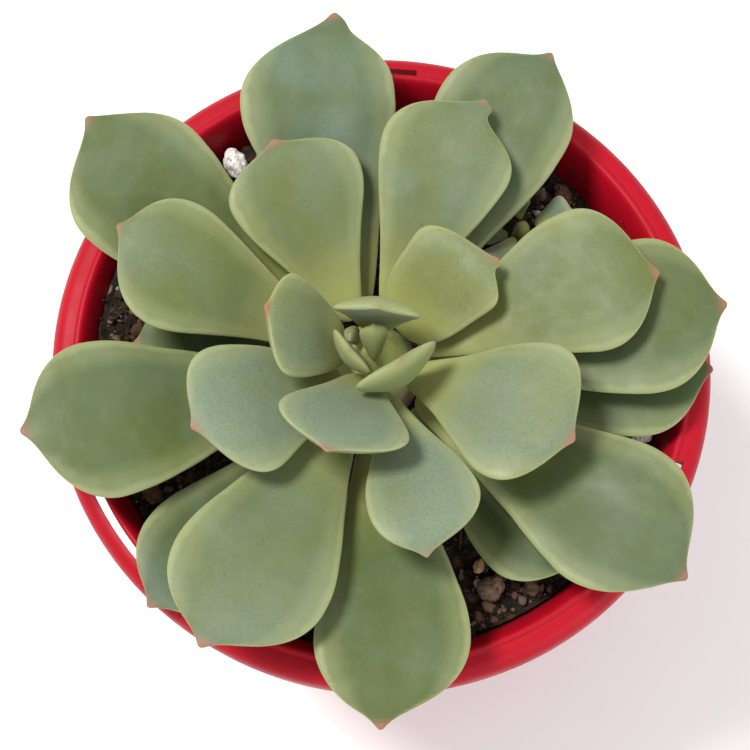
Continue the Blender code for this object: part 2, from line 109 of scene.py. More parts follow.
LEAVES = (
    Leaf("leaf_ground_1", "ground", 358, 0.0520, 0.027, 0.0, 0.0115, 0.0),
    Leaf("leaf_ground_2", "ground", 176, 0.034, 0.024, 0.0, 0.0105, 0.0),
    Leaf("leaf_ground_3", "ground", 231, 0.0505, 0.0245, -0.0015, 0.011, 0.0),
    Leaf("leaf_ground_4", "ground", 316, 0.044, 0.027, 0.0, 0.0115, 0.0),
    Leaf("leaf_outer_1", "outer", 7, 0.0555, 0.030, 0.0, 0.013, 0.0),
    Leaf("leaf_outer_2", "outer", 61.5, 0.057, 0.027, -0.002, 0.0145, 0.2),
    Leaf("leaf_outer_3", "outer", 102.5, 0.056, 0.030, -0.0065, 0.013, 0.35),
    Leaf("leaf_outer_4", "outer", 145, 0.059, 0.0295, -0.0045, 0.0125, 0.2),
    Leaf("leaf_outer_5", "outer", 196.5, 0.0555, 0.030, -0.0015, 0.013, 0.0),
    Leaf("leaf_outer_6", "outer", 274, 0.0595, 0.0275, -0.0035, 0.012, 0.0),
    Leaf("leaf_outer_7", "outer", 324, 0.060, 0.029, -0.0025, 0.0125, 0.15),
    Leaf("leaf_middle_1", "middle", 16.5, 0.046, 0.028, -0.0025, 0.012, 0.1),
    Leaf("leaf_middle_2", "middle", 69.5, 0.0435, 0.026, -0.003, 0.011, 0.7),
    Leaf("leaf_middle_3", "middle", 116, 0.036, 0.026, 0.0, 0.011, 0.0),
    Leaf("leaf_middle_4", "middle", 159, 0.044, 0.0245, -0.0025, 0.0105, 0.0),
    Leaf("leaf_middle_5", "middle", 244, 0.056, 0.029, -0.002, 0.0125, 0.0),
    Leaf("leaf_upper_1", "upper", 43, 0.0228, 0.0200, -0.0042, 0.0175, 0.45),
    Leaf("leaf_upper_2", "upper", 211, 0.033, 0.0255, -0.001, 0.0145, 0.0),
    Leaf("leaf_upper_3", "upper", 286, 0.038, 0.0202, -0.0026, 0.0066, 0.0),
    Leaf("leaf_upper_4", "upper", 331.5, 0.0365, 0.028, -0.001, 0.0108, 0.1),
    Leaf("leaf_inner_1", "inner", 176, 0.021, 0.019, -0.002, 0.013, 0.0),
    Leaf("leaf_inner_2", "inner", 253, 0.028, 0.023, -0.001, 0.0105, 0.0),
    Leaf("leaf_bowl_1", "bowl", 301, 0.0175, 0.0165, 0.0, 0.006, 0.0),
    Leaf("leaf_bud_1", "bud", 84, 0.016, 0.016, 0.0, 0.009, 0.0),
    Leaf("leaf_heart_1", "heart", 219, 0.012, 0.0105, 0.0, 0.0065, 0.0),
    Leaf("leaf_heart_2", "heart", 155, 0.0044, 0.0034, 0.0, 0.0025, 0.0),
    Leaf("leaf_tip_1", "tip", 276, 0.0085, 0.0052, 0.0, 0.0032, 0.0),
)
YOUNG_RINGS = ("bowl", "bud", "heart", "tip")
# How pale the leaves of each ring are, 0 to 1: the young inner leaves are paler, and the low outer rings also
# get a darker green that stands for the shade they lie in, as painted shade
PALE_AND_UNSHADED = {"ground": 0.0, "outer": 0.08, "middle": 0.30, "upper": 0.55, "inner": 0.5, "bowl": 0.75}
YOUNG_PALE = 0.85
WAXY = {  # how much pale bloom each leaf still carries
    "leaf_ground_1": 0.0, "leaf_ground_2": 0.1, "leaf_ground_3": 0.3, "leaf_ground_4": 0.0,
    "leaf_outer_1": 0.0, "leaf_outer_2": 0.35, "leaf_outer_3": 0.6, "leaf_outer_4": 0.05,
    "leaf_outer_5": 0.1, "leaf_outer_6": 0.0, "leaf_outer_7": 0.15,
    "leaf_middle_1": 0.15, "leaf_middle_2": 0.35, "leaf_middle_3": 0.3, "leaf_middle_4": 0.2,
    "leaf_middle_5": 0.45,
    "leaf_upper_1": 0.0, "leaf_upper_2": 0.9, "leaf_upper_3": 0.8, "leaf_upper_4": 0.6,
    "leaf_inner_1": 0.4, "leaf_inner_2": 1.0, "leaf_bowl_1": 0.5, "leaf_bud_1": 0.9,
}
YOUNG_WAXY = 0.2

# The relief of a leaf of full width: a channel down the middle, slow waves, fine lumps and a swaying edge
FULL_LEAF_WIDTH = 0.028
CHANNEL_DEPTH = 0.00042
CHANNEL_WIDTH = 0.34  # a share of the half width
WAVE_HEIGHT = 0.00042
WAVE_LENGTH = 0.013
LUMP_HEIGHT = 0.00007
LUMP_SIZE = 0.0035
LUMP_SEED = 40
SWAY = 0.0007
SWAY_LENGTH = 0.014
SWAY_SEED = 80
SWAY_FADE = 4.0  # the sway dies out over the last quarter of a leaf
SPINE_ROWS = 90
SPINE_BEYOND = 1.02
LEAST_REACH = 0.02
STREAK_STRETCH = 0.12  # draws the streaks out along a leaf
STREAK_SHIFT = 0.01  # from one leaf's pattern to the next

# Stem
STEM_RADIUS = 0.0092
STEM_DOME = 0.0185
STEM_TAPER = 1.7

# Offset
OFFSET_STEM_RADIUS = 0.0016
OFFSET_STEM_RISE = 0.0075
OFFSET_FIRST_AZIMUTH = 182.0
OFFSET_FIRST_HEIGHT = 0.002
OFFSET_LIFT = 0.0012
OFFSET_THICKNESS = 0.0023
OFFSET_CURL = 16.0
OFFSET_NECK = 0.5
OFFSET_PALE = 0.35
OFFSET_WAXY = 0.7
OFFSET_SEED = 60
GOLDEN_ANGLE = 137.5
OffsetLeaf = namedtuple("OffsetLeaf", "length width rise")
OFFSET_LEAVES = (
    OffsetLeaf(0.0065, 0.0055, 18.0),
    OffsetLeaf(0.0090, 0.0060, 20.0),
    OffsetLeaf(0.0050, 0.0042, 40.0),
    OffsetLeaf(0.0120, 0.0065, 18.0),
    OffsetLeaf(0.0080, 0.0070, 26.0),
)


# ---------------------------------------------------------------- meshes


def new_object(name, mesh, material=None):
    item = bpy.data.objects.new(name, mesh)
    bpy.context.scene.collection.objects.link(item)
    if material:
        mesh.materials.clear()
        mesh.materials.append(material)
    return item


def evaluated_mesh(item, name):
    """A plain mesh of the object with its modifiers applied."""
    graph = bpy.context.evaluated_depsgraph_get()
    graph.update()
    mesh = bpy.data.meshes.new_from_object(item.evaluated_get(graph))
    mesh.name = name
    return mesh


def points_of(mesh):
    flat = np.empty(len(mesh.vertices) * 3, np.float32)
    mesh.vertices.foreach_get("co", flat)
    return flat.reshape(-1, 3).astype(float)


def normals_of(mesh):
    flat = np.empty(len(mesh.vertices) * 3, np.float32)
    mesh.vertex_normals.foreach_get("vector", flat)
    return flat.reshape(-1, 3).astype(float)


def set_points(mesh, points):
    mesh.vertices.foreach_set("co", points.astype(np.float32).ravel())
    mesh.update()


def set_attribute(mesh, name, values):
    """One number, or one vector, for each vertex."""
    kind, field = ("FLOAT", "value") if values.ndim == 1 else ("FLOAT_VECTOR", "vector")
    layer = mesh.attributes.new(name, kind, "POINT")
    layer.data.foreach_set(field, values.astype(np.float32).ravel())


def noise_at(points, size, seed, octaves=2):
    """Smooth noise about 0, one number for each point, with features of this size."""
    shift = Vector((seed * 7.31, seed * 3.17, seed * 5.73))
    return np.array([noise.fractal(Vector(p) / size + shift, 1.0, 2.0, octaves) for p in points])


def subdivided(mesh, levels):
    item = new_object("cage", mesh)
    smooth = item.modifiers.new("smooth", "SUBSURF")
    smooth.levels = levels
    smooth.render_levels = levels
    smooth.boundary_smooth = "PRESERVE_CORNERS"
    made = evaluated_mesh(item, mesh.name)
    bpy.data.objects.remove(item)
    return made


def placed(name, mesh, material, node):
    """The mesh as a shown piece that stands for a CAD node."""
    mesh.shade_smooth()
    item = new_object(name, mesh, material)
    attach(item, "root")
    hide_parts(node)
    return item


# ---------------------------------------------------------------- materials


class Shade:
    """One material and short ways to add its nodes."""

    def __init__(self, name, **constants):
        self.material = bpy.data.materials.new(name)
        self.material.use_nodes = True
        self.tree = self.material.node_tree
        self.shader = self.tree.nodes["Principled BSDF"]
        for key, value in constants.items():
            self.shader.inputs[key.replace("_", " ")].default_value = value
        self.place = self.tree.nodes.new("ShaderNodeTexCoord").outputs["Object"]

    def put(self, socket, value):
        if isinstance(value, bpy.types.NodeSocket):
            self.tree.links.new(value, socket)
        else:
            socket.default_value = value

    def attribute(self, name, output="Fac"):
        node = self.tree.nodes.new("ShaderNodeAttribute")
        node.attribute_name = name
        return node.outputs[output]

    def noise(self, size, detail=3.0, roughness=0.55, distortion=0.0, place=None):
        node = self.tree.nodes.new("ShaderNodeTexNoise")
        self.put(node.inputs["Vector"], place or self.place)
        node.inputs["Scale"].default_value = 1.0 / size
        node.inputs["Detail"].default_value = detail
        node.inputs["Roughness"].default_value = roughness
        node.inputs["Distortion"].default_value = distortion
        return node.outputs["Fac"]

    def cells(self, size):
        node = self.tree.nodes.new("ShaderNodeTexVoronoi")
        self.put(node.inputs["Vector"], self.place)
        node.inputs["Scale"].default_value = 1.0 / size
        return node.outputs["Distance"]

    def ramp(self, value, *stops):
        """A number from a number: stops are (in, out) pairs."""
        node = self.tree.nodes.new("ShaderNodeValToRGB")
        self.put(node.inputs["Fac"], value)
        node.color_ramp.interpolation = "EASE"
        while len(node.color_ramp.elements) < len(stops):
            node.color_ramp.elements.new(0.5)
        for element, (at, level) in zip(node.color_ramp.elements, stops):
            element.position = at
            element.color = (level, level, level, 1.0)
        return node.outputs["Color"]

    def math(self, operation, *values):
        node = self.tree.nodes.new("ShaderNodeMath")
        node.operation = operation
        for socket, value in zip(node.inputs, values):
            self.put(socket, value)
        return node.outputs[0]

    def mix(self, share, first, second):
        """The first colour where the share is 0, the second where it is 1."""
        node = self.tree.nodes.new("ShaderNodeMix")
        node.data_type = "RGBA"
        self.put(node.inputs["Factor"], share)
        colours = [socket for socket in node.inputs if socket.type == "RGBA"]
        for socket, value in zip(colours, (first, second)):
            self.put(socket, (*value, 1.0) if isinstance(value, tuple) else value)
        return [socket for socket in node.outputs if socket.type == "RGBA"][0]

    def bump(self, height, distance, strength=1.0, onto=None):
        node = self.tree.nodes.new("ShaderNodeBump")
        self.put(node.inputs["Height"], height)
        node.inputs["Distance"].default_value = distance
        node.inputs["Strength"].default_value = strength
        if onto:
            self.put(node.inputs["Normal"], onto)
        return node.outputs["Normal"]

    def finish(self, colour, roughness, normal):
        for key, value in (("Base Color", colour), ("Roughness", roughness), ("Normal", normal)):
            self.put(self.shader.inputs[key], value)
        return self.material


def make_leaf_skin():
    """Fleshy green skin under a pale waxy bloom, thinner at the base and margins, with pink tips."""
    made = Shade(
        "leaf_skin",
        Subsurface_Weight=0.12,
        Subsurface_Radius=(0.6, 0.8, 0.25),
        Subsurface_Scale=0.0022,
        Specular_IOR_Level=0.32,
        Sheen_Weight=0.06,
        Sheen_Roughness=0.5,
    )
    facing = made.attribute("facing")
    along = made.attribute("along")
    pale = made.attribute("pale")
    waxy = made.attribute("waxy")
    tip = made.attribute("tip")
    margin = made.attribute("margin")
    leafwise = made.attribute("leaf_place", "Vector")

    clouds = made.noise(0.015, 3.0, 0.5, 0.4)
    mottle = made.noise(0.0028, 4.0, 0.6)
    grain = made.noise(0.0005, 3.0, 0.6)
    streaks = made.noise(0.0020, 3.0, 0.6, 0.2, leafwise)

    # Dark green where pale is 0: partly the older leaves' own colour, partly painted shade on the low outer
    # rings
    green = made.mix(pale, (0.060, 0.086, 0.020), (0.215, 0.228, 0.068))
    bloom = made.mix(pale, (0.088, 0.134, 0.088), (0.198, 0.242, 0.158))
    bloomed = made.math("MULTIPLY_ADD", made.ramp(clouds, (0.30, 0.0), (0.68, 1.0)), 0.6, waxy)
    colour = made.mix(made.math("SUBTRACT", bloomed, 0.25), green, bloom)
    colour = made.mix(made.ramp(mottle, (0.45, 0.0), (0.78, 0.10)), colour, (0.22, 0.25, 0.085))
    colour = made.mix(made.ramp(streaks, (0.50, 0.0), (0.85, 0.14)), colour, (0.075, 0.12, 0.035))
    colour = made.mix(made.ramp(grain, (0.35, 0.24), (0.60, 0.0)), colour, (0.07, 0.10, 0.04))

    base = made.ramp(along, (0.08, 0.85), (0.55, 0.0))
    colour = made.mix(base, colour, (0.29, 0.305, 0.088))
    under = made.ramp(facing, (0.28, 0.75), (0.50, 0.0))
    colour = made.mix(under, colour, (0.23, 0.26, 0.095))
    wobble = made.math("MULTIPLY_ADD", made.noise(0.004, 2.0), 0.10, margin)
    rim = made.ramp(wobble, (0.60, 0.0), (0.90, 0.26), (1.0, 0.62))
    colour = made.mix(rim, colour, (0.300, 0.325, 0.150))
    rounded = made.ramp(facing, (0.50, 0.0), (0.60, 0.60), (0.84, 0.30), (0.97, 0.0))
    colour = made.mix(rounded, colour, (0.320, 0.330, 0.140))

    blotch = made.noise(0.0045, 2.0, 0.5)
    line = made.ramp(facing, (0.44, 0.0), (0.51, 1.0), (0.585, 0.0))
    line = made.math("MULTIPLY", line, made.ramp(blotch, (0.35, 0.30), (0.65, 1.0)))
    line = made.math("MULTIPLY", line, made.ramp(along, (0.30, 0.15), (0.85, 0.85)))
    colour = made.mix(line, colour, (0.215, 0.110, 0.070))
    blush = made.math("MULTIPLY", tip, made.ramp(blotch, (0.3, 0.5), (0.6, 1.0)))
    colour = made.mix(blush, colour, (0.30, 0.110, 0.075))

    speck = made.ramp(made.cells(0.0034), (0.034, 0.7), (0.055, 0.0))
    colour = made.mix(speck, colour, (0.04, 0.05, 0.02))

    roughness = made.ramp(made.noise(0.006, 3.0), (0.3, 0.46), (0.7, 0.60))
    fine = made.bump(grain, 0.00004, 0.6)
    normal = made.bump(streaks, 0.00006, 0.4, fine)
    normal = made.bump(made.noise(0.005, 3.0), 0.00025, 0.5, normal)
    return made.finish(colour, roughness, normal)


def make_plastic():
    """Moulded red plastic with a soft gloss, faint scuffs and a little dust."""
    made = Shade("red_plastic", Specular_IOR_Level=0.16)
    cloud = made.noise(0.02, 3.0)
    colour = made.mix(cloud, (0.33, 0.002, 0.010), (0.41, 0.004, 0.017))
    dust = made.ramp(made.noise(0.0011, 4.0, 0.7), (0.62, 0.0), (0.85, 0.10))
    colour = made.mix(dust, colour, (0.30, 0.06, 0.05))
    roughness = made.ramp(made.noise(0.004, 4.0, 0.6), (0.35, 0.42), (0.75, 0.54))
    scuff = made.noise(0.0018, 4.0, 0.7, 2.5)
    normal = made.bump(scuff, 0.00003, 0.35)
    normal = made.bump(made.noise(0.012, 2.0), 0.00020, 0.35, normal)
    return made.finish(colour, roughness, normal)


def make_mix():
    """Dark, damp potting mix. "warm" and "light" say what each crumb is."""
    made = Shade("potting_mix", Specular_IOR_Level=0.2)
    warm = made.attribute("warm")
    light = made.attribute("light")
    grain = made.noise(0.0011, 5.0, 0.7)
    peat = made.ramp(grain, (0.3, 0.0), (0.75, 1.0))
    colour = made.mix(peat, (0.004, 0.003, 0.0025), (0.034, 0.023, 0.016))
    colour = made.mix(warm, colour, (0.150, 0.070, 0.034))
    colour = made.mix(light, colour, (0.55, 0.50, 0.44))
    roughness = made.ramp(grain, (0.3, 0.75), (0.7, 0.95))
    normal = made.bump(grain, 0.0004, 0.8)
    normal = made.bump(made.noise(0.0003, 3.0), 0.00008, 0.6, normal)
    return made.finish(colour, roughness, normal)


def make_stone(name, first, second, size, roughness, pits):
    made = Shade(name, Specular_IOR_Level=0.3)
    grain = made.noise(size, 5.0, 0.65)
    colour = made.mix(made.ramp(grain, (0.35, 0.0), (0.65, 1.0)), first, second)
    hollows = made.ramp(made.cells(size * 0.6), (0.10, 0.0), (0.35, 1.0))
    # Darker in the pits: painted shade in the hollows.
    colour = made.mix(made.math("SUBTRACT", 1.0, hollows), colour, tuple(0.6 * level for level in first))
    normal = made.bump(hollows, pits, 0.7)
    normal = made.bump(grain, pits, 0.6, normal)
    return made.finish(colour, made.ramp(grain, (0.2, roughness - 0.1), (0.8, roughness)), normal)


def make_bark():
    made = Shade("bark", Specular_IOR_Level=0.25)
    fibres = made.noise(0.0005, 4.0, 0.6, 1.5)
    colour = made.mix(made.ramp(fibres, (0.35, 0.0), (0.7, 1.0)), (0.035, 0.017, 0.010), (0.17, 0.085, 0.045))
    normal = made.bump(fibres, 0.00025, 0.8)
    return made.finish(colour, made.ramp(fibres, (0.2, 0.7), (0.8, 0.92)), normal)


def make_stem_skin():
    """Yellow-green at the growing tip, tan and corky where it nears the mix."""
    made = Shade(
        "stem_skin",
        Subsurface_Weight=0.1,
        Subsurface_Radius=(0.6, 0.5, 0.2),
        Subsurface_Scale=0.002,
    )
    height = made.attribute("height")
    grain = made.noise(0.0012, 4.0, 0.6)
    tissue = made.mix(grain, (0.24, 0.30, 0.085), (0.40, 0.43, 0.14))
    cork = made.mix(grain, (0.14, 0.10, 0.055), (0.34, 0.27, 0.16))
    colour = made.mix(height, cork, tissue)
    normal = made.bump(grain, 0.0002, 0.6)
    return made.finish(colour, made.ramp(grain, (0.3, 0.6), (0.7, 0.8)), normal)


def make_floor_paint():
    made = Shade("pale_floor", Specular_IOR_Level=0.2)
    colour = made.mix(made.noise(0.05, 3.0), (0.90, 0.90, 0.90), (0.94, 0.94, 0.94))
    normal = made.bump(made.noise(0.002, 3.0), 0.0001, 0.2)
    return made.finish(colour, made.ramp(made.noise(0.02), (0.3, 0.6), (0.7, 0.7)), normal)


# ---------------------------------------------------------------- leaves


def spine_at(ring, start, distance):
    """Radius, height and elevation of a leaf's middle line, at a distance along it from its base."""
    radius, height = start
    steps = max(1, round(distance / SPINE_STEP))
    for step in range(steps):
        reached = (step + 0.5) / steps * distance
        rise = math.radians(ring.rise + (ring.end_rise - ring.rise) * reached / ring.span)
        radius += math.cos(rise) * distance / steps
        height += math.sin(rise) * distance / steps
    return radius, height, math.radians(ring.rise + (ring.end_rise - ring.rise) * distance / ring.span)


def leaf_cage(leaf, ring, start):
    built = bmesh.new()
    loops = []
    for index, station in enumerate(STATIONS):
        radius, height, rise = spine_at(ring, start, station.along * leaf.length)
        centre = Vector((radius, station.lean * leaf.lean, height))
        up = Vector((-math.sin(rise), 0.0, math.cos(rise)))
        width = leaf.neck if index < NECK_STATIONS else leaf.width
        reach = width / 2 * CAGE_ALLOWANCE * station.width
        depth = ring.thickness * station.thickness
        loop = []
        for across, level in SECTION:
            lift = level * depth + CUP * reach * abs(across)
            kept = 1.0 - leaf.notch if index == NOTCH_STATION and across < 0.0 else 1.0
            loop.append(built.verts.new(centre + Vector((0.0, across * reach * kept, 0.0)) + up * lift))
        loops.append(loop)
    for near, far in zip(loops, loops[1:]):
        for i in range(len(SECTION)):
            j = (i + 1) % len(SECTION)
            built.faces.new((near[i], near[j], far[j], far[i]))
    built.faces.new(loops[0])
    built.faces.new(loops[-1])
    bmesh.ops.recalc_face_normals(built, faces=built.faces)
    mesh = bpy.data.meshes.new(leaf.name)
    built.to_mesh(mesh)
    built.free()
    return mesh


def spine_table(leaf, ring, start):
    """Distance, radius, height and elevation at even steps along a leaf."""
    rows = [SPINE_BEYOND * leaf.length * i / (SPINE_ROWS - 1) for i in range(SPINE_ROWS)]
    return np.array([(distance, *spine_at(ring, start, distance)) for distance in rows])


def shaped_leaf(leaf, ring, stem_radius, pale, waxy, seed):
    """The leaf in its own frame: the CAD cage smoothed further, then a channel, waves and fine lumps."""
    seat = STATIONS[0].thickness * ring.thickness / 2 * math.sin(math.radians(ring.rise))
    start = (stem_radius + FIT_GAP + seat, ring.height)
    mesh = subdivided(leaf_cage(leaf, ring, start), LEAF_LEVELS)
    table = spine_table(leaf, ring, start)
    points = points_of(mesh)
    away = (points[:, None, 0] - table[None, :, 1]) ** 2 + (points[:, None, 2] - table[None, :, 2]) ** 2
    nearest = away.argmin(axis=1)
    along = table[nearest, 0] / leaf.length
    rise = table[nearest, 3]
    up = np.column_stack((-np.sin(rise), np.zeros_like(rise), np.cos(rise)))
    facing = (normals_of(mesh) * up).sum(axis=1)

    half = leaf.width / 2
    lean = np.interp(along, [s.along for s in STATIONS], [s.lean for s in STATIONS]) * leaf.lean
    across = (points[:, 1] - lean) / half
    scale = leaf.width / FULL_LEAF_WIDTH
    inside = np.clip(np.sin(np.clip(along, 0.0, 1.0) * math.pi), 0.0, 1.0)
    dip = np.exp(-((across / CHANNEL_WIDTH) ** 2))
    channel = -CHANNEL_DEPTH * dip * np.clip(facing, 0.0, 1.0) * inside
    waves = WAVE_HEIGHT * noise_at(points, WAVE_LENGTH, seed) * inside
    lumps = LUMP_HEIGHT * noise_at(points, LUMP_SIZE, seed + LUMP_SEED)
    points += up * ((channel + waves + lumps) * scale)[:, None]
    sides = np.column_stack((along * leaf.length, np.sign(across), 0 * along))
    sway = SWAY * noise_at(sides, SWAY_LENGTH, seed + SWAY_SEED)
    fade = np.clip(SWAY_FADE * (1.0 - along), 0.0, 1.0)
    points[:, 1] += sway * scale * np.abs(across) * fade * inside
    set_points(mesh, points)

    bins = np.clip((along * MARGIN_BINS).astype(int), 0, MARGIN_BINS)
    reach = np.zeros(MARGIN_BINS + 1)
    np.maximum.at(reach, bins, np.abs(across))
    middles = np.arange(MARGIN_BINS + 1) + 0.5
    widest = np.maximum(np.interp(along * MARGIN_BINS, middles, reach), LEAST_REACH)
    set_attribute(mesh, "margin", np.clip(np.abs(across) / widest, 0.0, 1.0))
    set_attribute(mesh, "facing", 0.5 + 0.5 * facing)
    set_attribute(mesh, "along", np.clip(along, 0.0, 1.0))
    far = (1.0 - along) * leaf.length
    blush = YOUNG_TIP_BLUSH if leaf.ring in YOUNG_RINGS else TIP_BLUSH
    set_attribute(mesh, "tip", blush * np.exp(-((far / (TIP_REACH * scale)) ** 2)))
    set_attribute(mesh, "pale", np.full(len(points), pale))
    set_attribute(mesh, "waxy", np.full(len(points), waxy))
    shift = np.full(len(points), STREAK_SHIFT * seed)
    drawn_out = STREAK_STRETCH * along * leaf.length
    set_attribute(mesh, "leaf_place", np.column_stack((drawn_out, across * half, shift)))
    return mesh


def stem_radius_at(height):
    share = min(max(height / STEM_DOME, 0.0), 1.0)
    return STEM_RADIUS * (1.0 - share**STEM_TAPER)


def add_leaves(skin):
    low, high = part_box("stem")
    plant = Vector(((low.x + high.x) / 2, (low.y + high.y) / 2, high.z - STEM_DOME))
    for number, leaf in enumerate(LEAVES):
        ring = RINGS[leaf.ring]
        pale = PALE_AND_UNSHADED.get(leaf.ring, YOUNG_PALE)
        waxy = WAXY.get(leaf.name, YOUNG_WAXY)
        mesh = shaped_leaf(leaf, ring, stem_radius_at(ring.height), pale, waxy, number + 1)
        mesh.transform(Matrix.Translation(plant) @ Matrix.Rotation(math.radians(leaf.azimuth), 4, "Z"))
        placed(f"skin_{leaf.name}", mesh, skin, leaf.name)


def add_offset(skin):
    low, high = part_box("offset_stem")
    young = Vector(((low.x + high.x) / 2, (low.y + high.y) / 2, high.z - OFFSET_STEM_RISE))
    for index, young_leaf in enumerate(OFFSET_LEAVES):
        height = OFFSET_FIRST_HEIGHT + OFFSET_LIFT * index
        length, width, rise = young_leaf
        ring = Ring(height, rise, rise + OFFSET_CURL, length, OFFSET_THICKNESS)
        name = f"offset_leaf_{index + 1}"
        leaf = Leaf(name, "", 0.0, length, width, 0.0, OFFSET_NECK * width, 0.0)
        seed = OFFSET_SEED + index
        mesh = shaped_leaf(leaf, ring, OFFSET_STEM_RADIUS, OFFSET_PALE, OFFSET_WAXY, seed)
        azimuth = OFFSET_FIRST_AZIMUTH + GOLDEN_ANGLE * index
        mesh.transform(Matrix.Translation(young) @ Matrix.Rotation(math.radians(azimuth), 4, "Z"))
        placed(f"skin_{name}", mesh, skin, name)


# ---------------------------------------------------------------- pot

POT_STEPS = 240
POT_FLOOR = 0.0035
POT_CREST_RADIUS = 0.0546
SKIRT_DEPTH = 0.0105
LIP_DEPTH = 0.0085  # from the top down to where the wall starts to open out into the rim
PAD_HEIGHT = 0.0015
CORNER_STEPS = 5
CORNER_SHARE = 0.48  # the most of a side that a corner's curve may take
POT_SHARP_ANGLE = 40.0
SLOT_COUNT = 3
SLOT_ANGLE = 212.0
SLOT_SPAN = 17.0
SLOT_RADIUS = 0.0557
SLOT_WIDTH = 0.0013
SLOT_DEPTH = 0.0046
SLOT_STEPS = 20
CUT_ABOVE = 0.002
DRAIN_COUNT = 6
DRAIN_CIRCLE = 0.0245
DRAIN_RADIUS = 0.003
DRAIN_STEPS = 32
DRAIN_BOTTOM = -0.001
DRAIN_TOP = 0.0045


def rounded(points):
    """A profile with its corners turned into curves. Points are (radius, height, room for the curve)."""
    made = [points[0][:2]]
    for before, here, after in zip(points, points[1:], points[2:]):
        corner = Vector(here[:2])
        into = Vector(before[:2]) - corner
        out = Vector(after[:2]) - corner
        first = corner + into.normalized() * min(here[2], CORNER_SHARE * into.length)
        last = corner + out.normalized() * min(here[2], CORNER_SHARE * out.length)
        for step in range(CORNER_STEPS + 1):
            share = step / CORNER_STEPS
            point = first * (1 - share) ** 2 + corner * 2 * share * (1 - share) + last * share**2
            made.append((point.x, point.y))
    made.append(points[-1][:2])
    return made


def turned_mesh(name, profile, steps):
    """A closed solid of revolution on a profile that starts and ends on the axis."""
    inner = profile[1:-1]
    vertices = [(0.0, 0.0, profile[0][1])]
    for radius, height in inner:
        for step in range(steps):
            turn = math.tau * step / steps
            vertices.append((radius * math.cos(turn), radius * math.sin(turn), height))
    vertices.append((0.0, 0.0, profile[-1][1]))
    last = len(vertices) - 1
    faces = []
    for step in range(steps):
        after = (step + 1) % steps
        faces.append((0, 1 + step, 1 + after))
        for row in range(len(inner) - 1):
            near, far = 1 + row * steps, 1 + (row + 1) * steps
            faces.append((near + step, far + step, far + after, near + after))
        bottom = 1 + (len(inner) - 1) * steps
        faces.append((bottom + step, last, bottom + after))
    mesh = bpy.data.meshes.new(name)
    mesh.from_pydata(vertices, [], faces)
    mesh.update()
    return mesh


def prism(name, outline, bottom, top):
    built = bmesh.new()
    floor = built.faces.new([built.verts.new((x, y, bottom)) for x, y in outline])
    raised = bmesh.ops.extrude_face_region(built, geom=[floor])["geom"]
    lifted = [part for part in raised if isinstance(part, bmesh.types.BMVert)]
    bmesh.ops.translate(built, verts=lifted, vec=(0.0, 0.0, top - bottom))
    bmesh.ops.recalc_face_normals(built, faces=built.faces)
    mesh = bpy.data.meshes.new(name)
    built.to_mesh(mesh)
    built.free()
    return new_object(name, mesh)


def arc_points(radius, start, end, count):
    turns = [math.radians(start + (end - start) * i / count) for i in range(count + 1)]
    return [(radius * math.cos(turn), radius * math.sin(turn)) for turn in turns]


def pot_profile(top):
    """From the floor's middle up the inner wall, over the rim, down the outer wall and under the foot."""
    crest, edge, skirt = POT_CREST_RADIUS, top - RIM_EDGE_BELOW_TOP, top - SKIRT_DEPTH
    return [
        (0.0, POT_FLOOR, 0.0),
        (0.0404, POT_FLOOR, 0.0025),
        # inner wall and lip
        (0.0518, top - LIP_DEPTH, 0.003),
        (0.0528, top - 0.0036, 0.003),
        (0.0541, top - 0.0008, 0.0012),
        # crest, with the step down to the band that holds the slots
        (0.0549, top, 0.0006),
        (0.0556, top - 0.0001, 0.0003),
        (0.0559, top - 0.0006, 0.0003),
        (0.0564, top - 0.0006, 0.0004),
        (0.0583, top - 0.0008, 0.0016),
        # outer edge and the skirt below it
        (0.0598, top - 0.0024, 0.0014),
        (0.0600, edge - 0.0010, 0.0005),
        (0.0594, skirt, 0.0004),
        (0.0582, skirt, 0.0004),
        (0.0586, edge - 0.0008, 0.0008),
        # the underside of the rim and the outer wall
        (0.0575, top - 0.0030, 0.0010),
        (crest + 0.0012, top - 0.0026, 0.0008),
        (crest - 0.0003, top - 0.0036, 0.0010),
        (0.0534, top - LIP_DEPTH, 0.0020),
        # foot ring, and the pad in the middle of the underside
        (0.0420, 0.0030, 0.0015),
        (0.0414, 0.0, 0.0005),
        (0.0370, 0.0, 0.0005),
        (0.0365, PAD_HEIGHT, 0.0004),
        (0.0125, PAD_HEIGHT, 0.0004),
        (0.0120, 0.0, 0.0004),
        (0.0, 0.0, 0.0),
    ]


